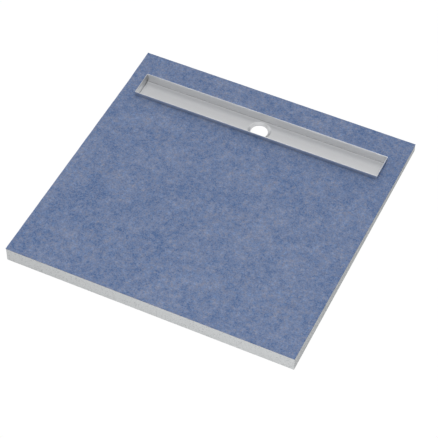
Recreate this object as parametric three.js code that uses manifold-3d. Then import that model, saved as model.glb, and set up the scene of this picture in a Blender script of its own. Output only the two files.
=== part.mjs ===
// Tileable shower tray: a square foam board that falls towards a steel drain channel let in near its back
// edge, with a sealing fleece bonded on top to take the tile adhesive.
// Millimetres, +Z up. The origin is the middle of the board's underside, and -Y is the thick front edge.

import * as THREE from 'three';
import { mergeVertices } from 'three/addons/utils/BufferGeometryUtils.js';
import Module from 'manifold-3d';

const wasm = await Module();
wasm.setup();

// Driving dimensions: the tray, measured over the fleece
const trayWidth = 900;
const trayDepth = 900;
const frontThickness = 50;
const valleyThickness = 26.5;
const backThickness = 27.5;
const fleeceThickness = 1;
const fleeceOverhang = 1;

// Driving dimensions: the channel, measured outside its walls, and its margins to the tray's edges
const channelLeftMargin = 46;
const channelRightMargin = 53;
const channelBackMargin = 95;
const channelWidth = 86;
const channelDepth = 30;
const channelSheet = 1.5;
const foldInnerRadius = 2;
const foamUnderChannel = 8.7;

// Driving dimensions: the outlet pressed into the channel's floor
const outletRadius = 26.5;
const outletLand = 2.5;
const outletSlopeWidth = 7;
const outletSlopeDepth = 5;
const outletClearance = 3;

// Clearance between neighbouring pieces, and how far a cutting tool runs past the faces it cuts
const bondGap = 0.3;
const cutOverrun = 5;
const roundSegments = 72;
const foldSegments = 6;

// Heights and places worked out from the driving dimensions
const coreWidth = trayWidth - 2 * fleeceOverhang;
const coreDepth = trayDepth - 2 * fleeceOverhang;
const channelLength = trayWidth - channelLeftMargin - channelRightMargin;
const channelX = (channelLeftMargin - channelRightMargin) / 2;
const channelY = trayDepth / 2 - channelBackMargin - channelWidth / 2;
const channelUnderside = foamUnderChannel + bondGap;
const channelFloor = channelUnderside + channelSheet;
const rimTop = channelFloor + channelDepth;
const pressedRadius = outletRadius + outletLand + outletSlopeWidth;
const tallest = Math.max(frontThickness, valleyThickness, backThickness, rimTop);

// A closed geometry as a solid that can be joined and cut
function solidOf(geometry) {
  const bare = geometry.index ? geometry.clone() : geometry;
  bare.deleteAttribute('normal');
  bare.deleteAttribute('uv');
  const merged = mergeVertices(bare, 1e-5);
  return new wasm.Manifold(new wasm.Mesh({
    numProp: 3,
    vertProperties: new Float32Array(merged.attributes.position.array),
    triVerts: new Uint32Array(merged.index.array),
  }));
}

// A finished solid as a named mesh
function meshOf(name, solid, material) {
  const { vertProperties, triVerts } = solid.getMesh();
  const geometry = new THREE.BufferGeometry();
  geometry.setAttribute('position', new THREE.BufferAttribute(new Float32Array(vertProperties), 3));
  geometry.setIndex(new THREE.BufferAttribute(new Uint32Array(triVerts), 1));
  geometry.computeVertexNormals();
  const mesh = new THREE.Mesh(geometry, material);
  mesh.name = name;
  return mesh;
}

// A box standing between two heights, centred on a point of the plan
function block(width, depth, bottom, top, x, y) {
  const geometry = new THREE.BoxGeometry(width, depth, top - bottom);
  geometry.translate(x, y, (bottom + top) / 2);
  return solidOf(geometry);
}

// A side view, as an outline of depth and height, drawn out along X to the given width
function drawnOut(outline, width, x = 0, y = 0) {
  const options = { depth: width, bevelEnabled: false, curveSegments: foldSegments };
  const geometry = new THREE.ExtrudeGeometry(outline, options);
  geometry.translate(0, 0, -width / 2);
  const alongY = new THREE.Vector3(0, 1, 0);
  const alongZ = new THREE.Vector3(0, 0, 1);
  const alongX = new THREE.Vector3(1, 0, 0);
  geometry.applyMatrix4(new THREE.Matrix4().makeBasis(alongY, alongZ, alongX));
  geometry.translate(x, y, 0);
  return solidOf(geometry);
}

// A straight-sided outline from points of depth and height
function outlineOf(points) {
  return new THREE.Shape(points.map(([y, z]) => new THREE.Vector2(y, z)));
}

// The outline of a trough: upright sides, a level bottom and a quarter round at each fold
function troughOutline(width, bottom, top, radius) {
  const side = width / 2;
  const outline = new THREE.Shape();
  outline.moveTo(-side, top);
  outline.lineTo(-side, bottom + radius);
  outline.absarc(radius - side, bottom + radius, radius, Math.PI, 1.5 * Math.PI, false);
  outline.absarc(side - radius, bottom + radius, radius, 1.5 * Math.PI, 2 * Math.PI, false);
  outline.lineTo(side, top);
  return outline;
}

// Points of radius and height, from the axis and back to it, turned about the outlet's centre line
function turned(points) {
  const profile = points.map(([radius, height]) => new THREE.Vector2(radius, height));
  const geometry = new THREE.LatheGeometry(profile, roundSegments);
  geometry.rotateX(Math.PI / 2);
  geometry.translate(channelX, channelY, 0);
  return solidOf(geometry);
}

// Height of the tray's upper face, fleece included, at a depth: it falls straight from the front edge to
// the valley on the channel's centre line, and rises a little from there to the back edge
function upperFace(y) {
  const front = -trayDepth / 2;
  const back = trayDepth / 2;
  if (y <= channelY) {
    return THREE.MathUtils.mapLinear(y, front, channelY, frontThickness, valleyThickness);
  }
  return THREE.MathUtils.mapLinear(y, channelY, back, valleyThickness, backThickness);
}

// The points of the upper face from one depth to another, lowered by a given amount
function upperOutline(fromY, toY, lowering) {
  return [fromY, channelY, toY].map((y) => [y, upperFace(y) - lowering]);
}

// The space that the channel takes in the pieces around it, from a height up through the top
function channelSpace(bottom) {
  const width = channelLength + 2 * bondGap;
  const depth = channelWidth + 2 * bondGap;
  return block(width, depth, bottom, tallest + cutOverrun, channelX, channelY);
}

// Foam board: a flat underside, cut square at the edges, with a pocket for the channel and a round
// passage under the outlet
function foamBoard() {
  const front = -coreDepth / 2;
  const back = coreDepth / 2;
  const lowering = fleeceThickness + bondGap;
  const top = upperOutline(back, front, lowering);
  const body = drawnOut(outlineOf([[front, 0], [back, 0], ...top]), coreWidth);
  const passageRadius = pressedRadius + channelSheet + outletClearance;
  const passage = turned([
    [0, -cutOverrun],
    [passageRadius, -cutOverrun],
    [passageRadius, foamUnderChannel + cutOverrun],
    [0, foamUnderChannel + cutOverrun],
  ]);
  return body.subtract(channelSpace(foamUnderChannel)).subtract(passage);
}

// Sealing fleece: an even layer over the whole board, a little past its edges, cut out round the channel
function sealingFleece() {
  const front = -trayDepth / 2;
  const back = trayDepth / 2;
  const under = upperOutline(front, back, fleeceThickness);
  const over = upperOutline(back, front, 0);
  return drawnOut(outlineOf([...under, ...over]), trayWidth).subtract(channelSpace(0));
}

// Drain channel: an open trough of folded sheet whose walls stand proud of the fleece, with a dished
// outlet pressed down out of its level floor
function drainChannel() {
  const insideLength = channelLength - 2 * channelSheet;
  const insideWidth = channelWidth - 2 * channelSheet;
  const foldOuterRadius = foldInnerRadius + channelSheet;
  const outer = troughOutline(channelWidth, channelUnderside, rimTop, foldOuterRadius);
  const inner = troughOutline(insideWidth, channelFloor, rimTop + cutOverrun, foldInnerRadius);
  const outside = drawnOut(outer, channelLength, channelX, channelY);
  const inside = drawnOut(inner, insideLength, channelX, channelY);
  const landRadius = outletRadius + outletLand;
  const landTop = channelFloor - outletSlopeDepth;
  const landUnderside = landTop - channelSheet;
  const pressing = turned([
    [0, landUnderside],
    [landRadius + channelSheet / 2, landUnderside],
    [pressedRadius + channelSheet / 2, channelUnderside],
    [pressedRadius + channelSheet / 2, channelFloor],
    [0, channelFloor],
  ]);
  const hollow = turned([
    [0, landUnderside - cutOverrun],
    [outletRadius, landUnderside - cutOverrun],
    [outletRadius, landTop],
    [landRadius, landTop],
    [pressedRadius, channelFloor],
    [pressedRadius, channelFloor + cutOverrun],
    [0, channelFloor + cutOverrun],
  ]);
  return outside.add(pressing).subtract(inside).subtract(hollow);
}

const foamGrey = new THREE.MeshStandardMaterial({ color: '#bfc3c6', roughness: 0.9, metalness: 0 });
const fleeceBlue = new THREE.MeshStandardMaterial({ color: '#7180a0', roughness: 1, metalness: 0 });
const steel = new THREE.MeshStandardMaterial({ color: '#c6c8ca', roughness: 0.35, metalness: 0.9 });

const tray = new THREE.Group();
tray.add(meshOf('foam_board', foamBoard(), foamGrey));
tray.add(meshOf('sealing_fleece', sealingFleece(), fleeceBlue));
tray.add(meshOf('drain_channel', drainChannel(), steel));

export default tray;
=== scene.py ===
"""Looks of the tileable shower tray: a blue nonwoven fleece on a grey rigid foam board that falls to a folded
stainless drain channel. Metres, +Z up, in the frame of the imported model, with -Y the thick front edge."""

import math

import bpy
import numpy as np
from mathutils import Matrix, Vector


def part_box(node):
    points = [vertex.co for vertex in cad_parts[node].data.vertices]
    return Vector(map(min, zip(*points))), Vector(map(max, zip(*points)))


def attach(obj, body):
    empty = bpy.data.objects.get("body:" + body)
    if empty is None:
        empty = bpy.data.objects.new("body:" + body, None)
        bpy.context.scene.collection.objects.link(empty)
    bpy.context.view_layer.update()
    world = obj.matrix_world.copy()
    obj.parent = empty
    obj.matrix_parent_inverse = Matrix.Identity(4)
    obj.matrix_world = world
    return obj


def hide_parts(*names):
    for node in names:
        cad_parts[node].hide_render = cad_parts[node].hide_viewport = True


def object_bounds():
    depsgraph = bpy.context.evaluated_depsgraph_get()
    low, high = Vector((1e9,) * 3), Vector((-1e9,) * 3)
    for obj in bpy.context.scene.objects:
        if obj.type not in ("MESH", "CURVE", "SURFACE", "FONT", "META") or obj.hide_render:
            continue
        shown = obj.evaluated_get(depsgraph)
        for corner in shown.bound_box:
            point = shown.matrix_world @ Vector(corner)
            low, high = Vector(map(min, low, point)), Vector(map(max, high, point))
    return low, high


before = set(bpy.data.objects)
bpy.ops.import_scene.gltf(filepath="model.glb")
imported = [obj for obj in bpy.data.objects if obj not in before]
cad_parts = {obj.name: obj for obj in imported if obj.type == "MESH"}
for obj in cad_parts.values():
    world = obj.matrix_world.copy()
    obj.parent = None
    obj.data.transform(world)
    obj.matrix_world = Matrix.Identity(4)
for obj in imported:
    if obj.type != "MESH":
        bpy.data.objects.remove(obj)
cad_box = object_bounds()

MM = 0.001

# Sheet steel of the channel, and how far its cut rim is eased
SHEET = 1.5 * MM
FOLD_RADIUS = 2 * MM
RIM_EASE = 0.35 * MM

# Outlet pressed into the channel's floor: radii outwards from its middle, how deep its land lies, and the
# share of its slope that each lip takes to turn level
OUTLET_RADIUS = 26.5 * MM
LAND_RADIUS = 29 * MM
PRESSED_RADIUS = 36 * MM
PRESSED_DEPTH = 5 * MM
LIP = 0.1

# Fleece: its thickness, the rise from the valley to the back edge, its gap round the channel, its grid's
# spacing, and how far its face wavers, over wavelengths in metres
FLEECE = 1 * MM
BACK_RISE = 1 * MM
BOND_GAP = 0.3 * MM
FLEECE_GRID = 7 * MM
FLEECE_WAVER = 0.12 * MM
FACE_WAVES = [0.09, 0.13, 0.21, 0.06]
FACE_SEED = 9

# The fleece's outer cut edge: how far in it lies on average, how far it wavers from there, and its easing
CUT_INSET = 0.15 * MM
CUT_WAVER = 0.12 * MM
CUT_WAVES = [0.031, 0.017, 0.053]
CUT_SEED = 4
CUT_EASE = 0.25 * MM

# The trimmed edge stands OVERHANG past the board. Its under side, as far in as EDGE_REACH, turns down over
# the board by EDGE_TURN, and what lies deeper below the face than EDGE_DEPTH gets painted shade
OVERHANG = 1 * MM
EDGE_REACH = 0.8 * MM
EDGE_TURN = 1.1 * MM
EDGE_DEPTH = 0.5 * MM

# Meshing: points nearer than WELD are one, edges sharper than EASED_ANGLE are eased, and faces that meet at
# less than SMOOTH_ANGLE are shaded as one. The steps are those of an eased edge, of a fold, of the floor's
# width, with half as many stations on either side of the outlet, and of each part of the outlet
WELD = 0.01 * MM
EASED_ANGLE = math.radians(60)
EASE_STEPS = 2
SMOOTH_ANGLE = math.radians(35)
FOLD_STEPS = 6
FLOOR_STEPS = 30
OUTLET_STEPS = 3

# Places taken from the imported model
channel_low, channel_high = (Vector(corner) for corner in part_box("drain_channel"))
fleece_low, fleece_high = (Vector(corner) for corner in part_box("sealing_fleece"))
channel_middle = (channel_low + channel_high) / 2
channel_floor = channel_low.z + PRESSED_DEPTH + SHEET
inner_length = channel_high.x - channel_low.x - 2 * SHEET
inner_width = channel_high.y - channel_low.y - 2 * SHEET


# Meshes

def mesh_piece(name, points, faces):
    """An object at the origin whose mesh has the given points and faces."""
    mesh = bpy.data.meshes.new(name)
    mesh.from_pydata(points.tolist(), [], faces.tolist())
    piece = bpy.data.objects.new(name, mesh)
    bpy.context.scene.collection.objects.link(piece)
    return piece


def grid_faces(rows, columns, closed=False):
    """Quads between neighbours of a rows by columns grid, whose columns may close into a ring."""
    index = np.arange(rows * columns).reshape(rows, columns)
    if closed:
        index = np.concatenate([index, index[:, :1]], axis=1)
    corners = [index[:-1, :-1], index[:-1, 1:], index[1:, 1:], index[1:, :-1]]
    return np.stack(corners, axis=-1).reshape(-1, 4)


def welded(grids):
    """One array of points and one of faces from several (points, faces) pairs, with points in one place made
    one: each place is rounded to whole steps of the weld distance and compared."""
    points, faces, count = [], [], 0
    for grid_points, grid_quads in grids:
        points.append(grid_points.reshape(-1, 3))
        faces.append(grid_quads + count)
        count += len(points[-1])
    points, faces = np.concatenate(points), np.concatenate(faces)
    keys = np.round(points / WELD).astype(np.int64)
    _, first, merged = np.unique(keys, axis=0, return_index=True, return_inverse=True)
    return points[first], merged.reshape(-1)[faces]


def round_the_edge(xs, ys):
    """The stations round the edge of a rectangle, anticlockwise from its low corner, as plan points."""
    return np.concatenate([
        np.stack([xs[:-1], np.full(len(xs) - 1, ys[0])], axis=1),
        np.stack([np.full(len(ys) - 1, xs[-1]), ys[:-1]], axis=1),
        np.stack([xs[:0:-1], np.full(len(xs) - 1, ys[-1])], axis=1),
        np.stack([np.full(len(ys) - 1, xs[0]), ys[:0:-1]], axis=1),
    ])


def thickened(piece, thickness, ease):
    """Gives an open surface its thickness behind its face, eases its cut edges and shades it smooth."""
    wall = piece.modifiers.new("wall", "SOLIDIFY")
    wall.thickness = thickness
    wall.offset = -1
    wall.use_even_offset = True
    edges = piece.modifiers.new("eased edges", "BEVEL")
    edges.width = ease
    edges.segments = EASE_STEPS
    edges.limit_method = "ANGLE"
    edges.angle_limit = EASED_ANGLE
    bpy.context.view_layer.objects.active = piece
    piece.select_set(True)
    for modifier in list(piece.modifiers):
        bpy.ops.object.modifier_apply(modifier=modifier.name)
    bpy.ops.object.shade_smooth_by_angle(angle=SMOOTH_ANGLE)
    piece.select_set(False)


def places(piece):
    """The places of a piece's points, as an array of x, y and z."""
    place = np.empty(len(piece.data.vertices) * 3)
    piece.data.vertices.foreach_get("co", place)
    return place.reshape(-1, 3)


def mark(piece, name, shares):
    """Stores a share from 0 to 1 on each point, for the piece's material to read."""
    attribute = piece.data.attributes.new(name, "FLOAT", "POINT")
    attribute.data.foreach_set("value", np.clip(shares, 0, 1))


# Drain channel

def channel_walls(xs, ys):
    """Rings of the trough from rim to floor: each is a rectangle with mitred corners, drawn in by d and at
    height h, where d = 0 down the wall and then d = R(1 - cos a), h = floor + R(1 - sin a) round the fold."""
    turn = np.linspace(0, math.pi / 2, FOLD_STEPS + 1)
    inset = np.concatenate([[0, 0], FOLD_RADIUS * (1 - np.cos(turn))])
    height = np.concatenate([
        [channel_high.z, (channel_high.z + channel_floor) / 2],
        channel_floor + FOLD_RADIUS * (1 - np.sin(turn)),
    ])
    middle = np.array([channel_middle.x, channel_middle.y])
    half = np.array([inner_length, inner_width]) / 2
    offset = round_the_edge(xs, ys) - middle
    on_side = np.abs(offset) > half - FOLD_RADIUS - WELD
    side = np.where(on_side, np.sign(offset), 0)
    wall = middle + np.where(side != 0, side * half, offset)
    plan = wall[None] - inset[:, None, None] * side[None]
    level = np.broadcast_to(height[:, None, None], plan.shape[:2] + (1,))
    points = np.concatenate([plan, level], axis=-1)
    return points, grid_faces(len(inset), len(wall), closed=True)


def channel_floor_strip(xs, ys):
    """A level stretch of floor over the given stations."""
    x, y = np.meshgrid(xs, ys)
    points = np.stack([x, y, np.full_like(x, channel_floor)], axis=-1)
    return points, grid_faces(len(ys), len(xs))


def pressed_outlet(xs, ys):
    """The floor round the outlet, from its square edge in to the hole. Each line runs straight from a
    station on the square to the circle of the pressing, and then in along the radius r, where the height is
    that of a press tool with a straight slope and eased lips: z = floor - depth * s(u), with
    u = (R - r) / (R - land), s(u) straight in the middle and turned level by a parabola over the last part
    LIP at either end. From the land's radius to the hole it is level."""
    square = round_the_edge(xs, ys)
    middle = np.array([channel_middle.x, channel_middle.y])
    heading = (square - middle) / np.linalg.norm(square - middle, axis=1, keepdims=True)
    circle = middle + PRESSED_RADIUS * heading
    inwards = np.linspace(0, 1, OUTLET_STEPS + 1)[:, None, None]
    flat = square[None] * (1 - inwards) + circle[None] * inwards
    lip = np.linspace(0, LIP, OUTLET_STEPS + 1)
    u = np.concatenate([lip[1:], np.linspace(LIP, 1 - LIP, OUTLET_STEPS + 2)[1:-1], 1 - lip[::-1]])
    steep = 1 / (1 - LIP)
    share = np.where(u < LIP, steep * u**2 / (2 * LIP), steep * (u - LIP / 2))
    share = np.where(u > 1 - LIP, 1 - steep * (1 - u)**2 / (2 * LIP), share)
    radius = PRESSED_RADIUS - u * (PRESSED_RADIUS - LAND_RADIUS)
    radius = np.concatenate([radius, [(LAND_RADIUS + OUTLET_RADIUS) / 2, OUTLET_RADIUS]])
    dished = middle + radius[:, None, None] * heading[None]
    plan = np.concatenate([flat, dished])
    depth = PRESSED_DEPTH * np.concatenate([np.zeros(len(flat)), share, [1, 1]])
    level = np.broadcast_to((channel_floor - depth)[:, None, None], plan.shape[:2] + (1,))
    return np.concatenate([plan, level], axis=-1), grid_faces(len(plan), len(square), closed=True)


def into_fold(height):
    """How far into the inner fold a point lies: sin(2a) at the height floor + R(1 - sin a), which is
    nothing at either end of the fold and 1 halfway round it."""
    turn = np.arcsin(np.clip(1 - (height - channel_floor) / FOLD_RADIUS, 0, 1))
    return np.where(height >= channel_floor, np.sin(2 * turn), 0)


def folded_channel():
    """The trough as its inner surface, thickened outwards by the sheet: mitred walls, quarter-round folds,
    a level floor and the pressed outlet."""
    half_floor = inner_width / 2 - FOLD_RADIUS
    low_x = channel_middle.x - inner_length / 2 + FOLD_RADIUS
    high_x = channel_middle.x + inner_length / 2 - FOLD_RADIUS
    left = np.linspace(low_x, channel_middle.x - half_floor, FLOOR_STEPS // 2)
    right = np.linspace(channel_middle.x + half_floor, high_x, FLOOR_STEPS // 2)
    beside = channel_middle.x + np.linspace(-half_floor, half_floor, FLOOR_STEPS + 1)
    across = channel_middle.y + np.linspace(-half_floor, half_floor, FLOOR_STEPS + 1)
    along = np.concatenate([left, beside[1:-1], right])
    points, faces = welded([
        channel_walls(along, across),
        channel_floor_strip(left, across),
        channel_floor_strip(right, across),
        pressed_outlet(beside, across),
    ])
    piece = mesh_piece("folded_channel", points, faces)
    thickened(piece, SHEET, RIM_EASE)
    # The fold mark tells the steel's material where to paint shade along the inner crease
    mark(piece, "fold", into_fold(places(piece)[:, 2]))
    return piece


# Fleece

def fall(y):
    """Height of the fleece's face at depth y: straight from the front edge to the valley on the channel's
    middle line, then straight up to the back edge."""
    front, back, valley = fleece_low.y, fleece_high.y, channel_middle.y
    low = fleece_low.z + FLEECE
    to_valley = fleece_high.z + (low - fleece_high.z) * (y - front) / (valley - front)
    to_back = low + BACK_RISE * (y - valley) / (back - valley)
    return np.where(y <= valley, to_valley, to_back)


def waver(x, y, lengths, seed):
    """A smooth wandering held between -1 and 1: the sum of sines that run in seeded directions with the given
    wavelengths, over the root of their number."""
    rng = np.random.default_rng(seed)
    total = np.zeros(x.shape)
    for length in lengths:
        heading, phase = rng.uniform(0, 2 * math.pi, 2)
        along = x * math.cos(heading) + y * math.sin(heading)
        total = total + np.sin(2 * math.pi * along / length + phase)
    return np.clip(total / math.sqrt(len(lengths)), -1, 1)


def stations(*stops):
    """Grid stations through the given stops, evenly spaced between them at about the fleece's grid."""
    runs = []
    for start, end in zip(stops[:-1], stops[1:]):
        steps = max(1, round((end - start) / FLEECE_GRID))
        runs.append(np.linspace(start, end, steps + 1)[:-1])
    return np.concatenate(runs + [[stops[-1]]])


def turn_down_the_edge(piece):
    """Lowers the under side of the fleece's outer edge over the board by EDGE_TURN, and marks as cut edge
    all that lies deeper below the face than EDGE_DEPTH, which the fleece's material paints dark as shade."""
    place = places(piece)
    deep = fall(place[:, 1]) - place[:, 2] > EDGE_DEPTH
    plan_low, plan_high = np.array(fleece_low.xy), np.array(fleece_high.xy)
    inside = np.minimum(place[:, :2] - plan_low, plan_high - place[:, :2]).min(axis=1)
    place[:, 2] -= np.where(deep & (inside < EDGE_REACH), EDGE_TURN, 0)
    piece.data.vertices.foreach_set("co", place.reshape(-1))
    # The cut edge mark carries painted shade: the fleece's material darkens it
    mark(piece, "cut edge", deep)


def bonded_fleece():
    """The fleece as one grid over the tray with the channel's cut-out left open, thickened downwards. Its
    height is the fall less a slight waver, and its outer cut edge wanders in by a fraction of a millimetre
    before it is turned down."""
    cut_low = channel_low - Vector((BOND_GAP, BOND_GAP, 0))
    cut_high = channel_high + Vector((BOND_GAP, BOND_GAP, 0))
    low, high = fleece_low, fleece_high
    xs = stations(low.x, low.x + OVERHANG, cut_low.x, cut_high.x, high.x - OVERHANG, high.x)
    ys = stations(
        low.y, low.y + OVERHANG, cut_low.y, channel_middle.y, cut_high.y, high.y - OVERHANG, high.y,
    )
    x, y = np.meshgrid(xs, ys)
    faces = grid_faces(len(ys), len(xs))
    face_x, face_y = x.reshape(-1)[faces].mean(axis=1), y.reshape(-1)[faces].mean(axis=1)
    in_cut = (face_x > cut_low.x) & (face_x < cut_high.x) & (face_y > cut_low.y) & (face_y < cut_high.y)
    inwards_x = (x == xs[0]).astype(float) - (x == xs[-1])
    inwards_y = (y == ys[0]).astype(float) - (y == ys[-1])
    wander = CUT_INSET + CUT_WAVER * waver(x, y, CUT_WAVES, CUT_SEED)
    z = fall(y) - FLEECE_WAVER * (1 + waver(x, y, FACE_WAVES, FACE_SEED))
    points = np.stack([x + inwards_x * wander, y + inwards_y * wander, z], axis=-1).reshape(-1, 3)
    used, faces = np.unique(faces[~in_cut], return_inverse=True)
    piece = mesh_piece("bonded_fleece", points[used], faces.reshape(-1, 4))
    thickened(piece, FLEECE - 2 * FLEECE_WAVER, CUT_EASE)
    turn_down_the_edge(piece)
    return piece


# Materials

def linear(hex_colour):
    """An sRGB hex colour as linear RGBA."""
    channels = [int(hex_colour[i:i + 2], 16) / 255 for i in (1, 3, 5)]
    return [c / 12.92 if c <= 0.04045 else ((c + 0.055) / 1.055) ** 2.4 for c in channels] + [1]


def add_node(tree, kind, inputs=None, **settings):
    """Adds a node with its settings, and fills its inputs from values or from other nodes' outputs."""
    node = tree.nodes.new(kind)
    for name, value in settings.items():
        setattr(node, name, value)
    for name, value in (inputs or {}).items():
        if isinstance(value, bpy.types.NodeSocket):
            tree.links.new(value, node.inputs[name])
        else:
            node.inputs[name].default_value = value
    return node


def new_material(name):
    """A node material with nothing in it but its object coordinates, in metres."""
    material = bpy.data.materials.new(name)
    material.use_nodes = True
    tree = material.node_tree
    tree.nodes.clear()
    place = add_node(tree, "ShaderNodeTexCoord").outputs["Object"]
    return material, tree, place


# A Mix node's sockets for colours: its factor, its two colours and its result
MIX_FACTOR, MIX_FIRST, MIX_SECOND, MIX_RESULT = 0, 6, 7, 2

# How far across the fine patterns are drawn, and how many times as long as wide a grinding line is
FIBRE_BATCH = 7 * MM
FIBRE_TANGLE = 1.6 * MM
FOAM_SPOT = 4 * MM
FOAM_SPECK = 3 * MM
FOAM_PIT = 1.2 * MM
GRIND_LINE = 2 * MM
GRIND_STRETCH = 50

# The fleece's flecks: size in millimetres, octaves past the first, roughness and weight of each layer. A
# single fibre, 0.02 mm, can't show, so the finest layers are tufts of fibres, 3 to 5 mm across
FLECK_LAYERS = [
    (26, 3, 0.95, 0.48),
    (5, 0, 0.5, 0.16),
    (2.8, 0, 0.5, 0.24),
    (120, 1, 0.6, 0.12),
]


def nonwoven_fleece():
    """Thermally bonded polypropylene nonwoven. Blue and pale fibres are laid at random before they are
    pressed, so the colour flecks from a fibre tuft up to clouds a hand wide, with no shine. The pale fibres
    are cooler in some tufts and warmer in others, and the cut edge is painted dark as shade. The fibres of
    the relief are drawn as a tangle 1.6 mm across, as coarse as it needs to show."""
    material, tree, place = new_material("nonwoven_fleece")
    share = 0.0
    for size, octaves, roughness, weight in FLECK_LAYERS:
        flecks = add_node(tree, "ShaderNodeTexNoise", {
            "Vector": place, "Scale": 1 / (size * MM), "Detail": octaves, "Roughness": roughness,
        })
        inputs = {0: flecks.outputs["Fac"], 1: weight, 2: share}
        share = add_node(tree, "ShaderNodeMath", inputs, operation="MULTIPLY_ADD").outputs["Value"]
    pale = add_node(tree, "ShaderNodeMapRange", {"Value": share, "From Min": 0.36, "From Max": 0.64})
    # A 4D noise has another pattern than the flecks' 3D noise, so the batches don't follow the flecks
    batches = add_node(tree, "ShaderNodeTexNoise", {
        "Vector": place, "Scale": 1 / FIBRE_BATCH, "Detail": 2, "Roughness": 0.8,
    }, noise_dimensions="4D")
    warmth = add_node(tree, "ShaderNodeMapRange", {
        "Value": batches.outputs["Fac"], "From Min": 0.32, "From Max": 0.68,
    })
    pale_fibre = add_node(tree, "ShaderNodeMix", {
        MIX_FACTOR: warmth.outputs["Result"], MIX_FIRST: linear("#8aa2cc"), MIX_SECOND: linear("#9e9ca6"),
    }, data_type="RGBA")
    face = add_node(tree, "ShaderNodeMix", {
        MIX_FACTOR: pale.outputs["Result"], MIX_FIRST: linear("#526f9e"),
        MIX_SECOND: pale_fibre.outputs[MIX_RESULT],
    }, data_type="RGBA")
    # Painted shade: the marked cut edge is mixed toward a dark blue-grey
    edge = add_node(tree, "ShaderNodeAttribute", attribute_name="cut edge")
    colour = add_node(tree, "ShaderNodeMix", {
        MIX_FACTOR: edge.outputs["Fac"], MIX_FIRST: face.outputs[MIX_RESULT],
        MIX_SECOND: linear("#38445c"),
    }, data_type="RGBA")
    fibres = add_node(tree, "ShaderNodeTexNoise", {
        "Vector": place, "Scale": 1 / FIBRE_TANGLE, "Detail": 2, "Roughness": 0.6,
    })
    bump = add_node(tree, "ShaderNodeBump", {
        "Height": fibres.outputs["Fac"], "Strength": 0.4, "Distance": 0.4 * MM,
    })
    shader = add_node(tree, "ShaderNodeBsdfPrincipled", {
        "Base Color": colour.outputs[MIX_RESULT],
        "Roughness": 1.0,
        "Specular IOR Level": 0.2,
        "Normal": bump.outputs["Normal"],
    })
    add_node(tree, "ShaderNodeOutputMaterial", {"Surface": shader.outputs["BSDF"]})
    return material


def cut_foam():
    """Rigid polystyrene foam, sawn square. Its light grey cut face shows torn cells as fine dark specks:
    single cells, 0.3 mm, can't show, so the specks are drawn 3 mm across, the pits of the relief 1.2 mm, and
    the shade of denser and lighter spots 4 mm."""
    material, tree, place = new_material("cut_rigid_foam")
    cells = add_node(tree, "ShaderNodeTexNoise", {
        "Vector": place, "Scale": 1 / FOAM_SPOT, "Detail": 3, "Roughness": 0.7,
    })
    shade = add_node(tree, "ShaderNodeMapRange", {
        "Value": cells.outputs["Fac"], "From Min": 0.3, "From Max": 0.7,
    })
    sawn = add_node(tree, "ShaderNodeMix", {
        MIX_FACTOR: shade.outputs["Result"], MIX_FIRST: linear("#c8cacb"), MIX_SECOND: linear("#d6d8d9"),
    }, data_type="RGBA")
    torn = add_node(tree, "ShaderNodeTexNoise", {
        "Vector": place, "Scale": 1 / FOAM_SPECK, "Detail": 0, "Roughness": 0.5,
    })
    speck = add_node(tree, "ShaderNodeMapRange", {
        "Value": torn.outputs["Fac"], "From Min": 0.33, "From Max": 0.25, "To Max": 0.55,
    })
    colour = add_node(tree, "ShaderNodeMix", {
        MIX_FACTOR: speck.outputs["Result"], MIX_FIRST: sawn.outputs[MIX_RESULT],
        MIX_SECOND: linear("#8b8e91"),
    }, data_type="RGBA")
    pits = add_node(tree, "ShaderNodeTexNoise", {
        "Vector": place, "Scale": 1 / FOAM_PIT, "Detail": 1, "Roughness": 0.5,
    })
    bump = add_node(tree, "ShaderNodeBump", {
        "Height": pits.outputs["Fac"], "Strength": 0.3, "Distance": 0.3 * MM,
    })
    shader = add_node(tree, "ShaderNodeBsdfPrincipled", {
        "Base Color": colour.outputs[MIX_RESULT],
        "Roughness": 0.9,
        "Specular IOR Level": 0.3,
        "Normal": bump.outputs["Normal"],
    })
    add_node(tree, "ShaderNodeOutputMaterial", {"Surface": shader.outputs["BSDF"]})
    return material


def satin_steel():
    """Stainless steel sheet, fine-ground along the channel and then folded, so it mirrors its own walls
    softly. Its grinding lines, 0.05 mm apart, can't show, so they are drawn 2 mm wide and fifty times as
    long, and faint. The inner fold is painted darker, as painted shade along the crease."""
    material, tree, place = new_material("satin_stainless_steel")
    along = add_node(tree, "ShaderNodeMapping", {"Vector": place, "Scale": (1 / GRIND_STRETCH, 1, 1)})
    streaks = add_node(tree, "ShaderNodeTexNoise", {
        "Vector": along.outputs["Vector"], "Scale": 1 / GRIND_LINE, "Detail": 3, "Roughness": 0.6,
    })
    grind = add_node(tree, "ShaderNodeMapRange", {
        "Value": streaks.outputs["Fac"], "From Min": 0.3, "From Max": 0.7, "To Min": 0.28, "To Max": 0.32,
    })
    bump = add_node(tree, "ShaderNodeBump", {
        "Height": streaks.outputs["Fac"], "Strength": 0.02, "Distance": 0.05 * MM,
    })
    # Painted shade: the inner fold is mixed toward a darker steel colour
    fold = add_node(tree, "ShaderNodeAttribute", attribute_name="fold")
    colour = add_node(tree, "ShaderNodeMix", {
        MIX_FACTOR: fold.outputs["Fac"], MIX_FIRST: linear("#e3e4e6"), MIX_SECOND: linear("#aaacaf"),
    }, data_type="RGBA")
    shader = add_node(tree, "ShaderNodeBsdfPrincipled", {
        "Base Color": colour.outputs[MIX_RESULT],
        "Metallic": 1.0,
        "Roughness": grind.outputs["Result"],
        "Normal": bump.outputs["Normal"],
    })
    add_node(tree, "ShaderNodeOutputMaterial", {"Surface": shader.outputs["BSDF"]})
    return material


def finish_in(piece, material):
    """Puts one material on a piece."""
    piece.data.materials.clear()
    piece.data.materials.append(material)


# Studio

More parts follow.
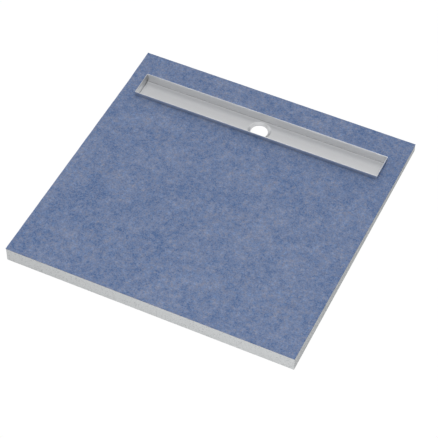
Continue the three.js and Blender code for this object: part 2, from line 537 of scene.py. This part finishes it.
# Surround: a pale room with soft glows. Each glow is a direction, the cosine of the angle from it at which
# the glow has faded out, and its strength in the middle. The last, below nothing, is a dark screen
SURROUND = 0.42
SURROUND_GLOWS = [
    ((0.05, 0.0, 1.0), 0.45, 0.52),
    ((-0.05, 0.98, 0.10), 0.78, 2.6),
    ((-0.98, 0.10, 0.05), 0.6, 0.5),
    ((0.64, 0.55, 0.52), 0.85, 0.35),
    ((0.98, -0.3, 0.05), 0.6, -0.3),
]

# Camera: seen from the right of the front edge, as solved from the photograph's edges, with its sensor's
# width and its lens in millimetres
VIEW_AIM = Vector((0.0454, -0.0765, 0.035))
VIEW_DISTANCE = 5.4523
VIEW_AZIMUTH = math.radians(24.963)
VIEW_ELEVATION = math.radians(49.820)
VIEW_ROLL = math.radians(0.513)
VIEW_SENSOR = 36
VIEW_LENS = 154.79

# Low soft box in front of the tray, to the right: its place, aim, width, height and radiance
FILL_PLACE = Vector((0.45, -1.7, 0.27))
FILL_AIM = Vector((0.2, -0.45, 0.03))
FILL_WIDTH = 2.0
FILL_HEIGHT = 0.5
FILL_RADIANCE = 2.35

# Floor: half its side, and how white it looks, a touch over full so that it is white all through
HALF_FLOOR = 12.0
PAPER_WHITE = 1.01


def studio_paper():
    """Seamless white studio paper. To the camera it is an even white, as overexposed paper is, so no shadow
    of the tray darkens it, and to the tray it is plain matt paper that throws light back."""
    material, tree, _ = new_material("studio_paper")
    seen = add_node(tree, "ShaderNodeLightPath")
    matt = add_node(tree, "ShaderNodeBsdfDiffuse", {"Color": linear("#f0f0f0")})
    white = add_node(tree, "ShaderNodeEmission", {"Color": linear("#ffffff"), "Strength": PAPER_WHITE})
    paper = add_node(tree, "ShaderNodeMixShader", {
        0: seen.outputs["Is Camera Ray"], 1: matt.outputs["BSDF"], 2: white.outputs["Emission"],
    })
    add_node(tree, "ShaderNodeOutputMaterial", {"Surface": paper.outputs["Shader"]})
    return material


def studio_floor():
    """A level square of paper under the tray."""
    x, y = np.meshgrid([-HALF_FLOOR, HALF_FLOOR], [-HALF_FLOOR, HALF_FLOOR])
    points = np.stack([x, y, np.full_like(x, cad_box[0][2])], axis=-1).reshape(-1, 3)
    floor = mesh_piece("studio_floor", points, grid_faces(2, 2))
    finish_in(floor, studio_paper())


def low_front_fill():
    """A soft box out of the camera's sight, facing its aim. A box of radiance L gives off pi L per area."""
    light = bpy.data.lights.new("low front fill", "AREA")
    light.shape = "RECTANGLE"
    light.size, light.size_y = FILL_WIDTH, FILL_HEIGHT
    light.energy = FILL_RADIANCE * math.pi * FILL_WIDTH * FILL_HEIGHT
    lamp = bpy.data.objects.new("low front fill", light)
    lamp.location = FILL_PLACE
    lamp.rotation_euler = (FILL_AIM - FILL_PLACE).to_track_quat("-Z", "Y").to_euler()
    lamp.visible_camera = False
    bpy.context.scene.collection.objects.link(lamp)


def soft_surround():
    """A white surround whose strength in a direction is its base plus what each glow adds or the dark
    screen takes: full at the glow's middle and easing to nothing where the cosine of the angle from it falls
    to the glow's own."""
    world = bpy.data.worlds.new("soft surround")
    world.use_nodes = True
    tree = world.node_tree
    direction = add_node(tree, "ShaderNodeTexCoord").outputs["Generated"]
    total = SURROUND
    for towards, fade, strength in SURROUND_GLOWS:
        inputs = {0: direction, 1: Vector(towards).normalized()}
        cosine = add_node(tree, "ShaderNodeVectorMath", inputs, operation="DOT_PRODUCT")
        glow = add_node(tree, "ShaderNodeMapRange", {
            "Value": cosine.outputs["Value"], "From Min": fade, "From Max": 1.0, "To Max": strength,
        }, interpolation_type="SMOOTHSTEP")
        total = add_node(tree, "ShaderNodeMath", {0: glow.outputs["Result"], 1: total}).outputs["Value"]
    background = tree.nodes["Background"]
    background.inputs["Color"].default_value = linear("#ffffff")
    tree.links.new(total, background.inputs["Strength"])
    bpy.context.scene.world = world


def photograph_camera():
    """A camera on the sphere round the aim, at the view's azimuth and elevation, turned by its roll."""
    outwards = Vector((
        math.cos(VIEW_ELEVATION) * math.sin(VIEW_AZIMUTH),
        -math.cos(VIEW_ELEVATION) * math.cos(VIEW_AZIMUTH),
        math.sin(VIEW_ELEVATION),
    ))
    data = bpy.data.cameras.new("photograph view")
    data.sensor_width = VIEW_SENSOR
    data.lens = VIEW_LENS
    camera = bpy.data.objects.new("photograph view", data)
    turn = outwards.to_track_quat("Z", "Y").to_matrix() @ Matrix.Rotation(VIEW_ROLL, 3, "Z")
    camera.matrix_world = Matrix.Translation(VIEW_AIM + VIEW_DISTANCE * outwards) @ turn.to_4x4()
    bpy.context.scene.collection.objects.link(camera)
    bpy.context.scene.camera = camera


# The studio, whose picture shows colours as they are, with no film curve
bpy.context.scene.view_settings.view_transform = "Standard"
photograph_camera()
soft_surround()
low_front_fill()
studio_floor()

# The tray
channel = folded_channel()
finish_in(channel, satin_steel())
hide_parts("drain_channel")
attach(channel, "root")

fleece = bonded_fleece()
finish_in(fleece, nonwoven_fleece())
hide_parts("sealing_fleece")
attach(fleece, "root")

finish_in(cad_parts["foam_board"], cut_foam())
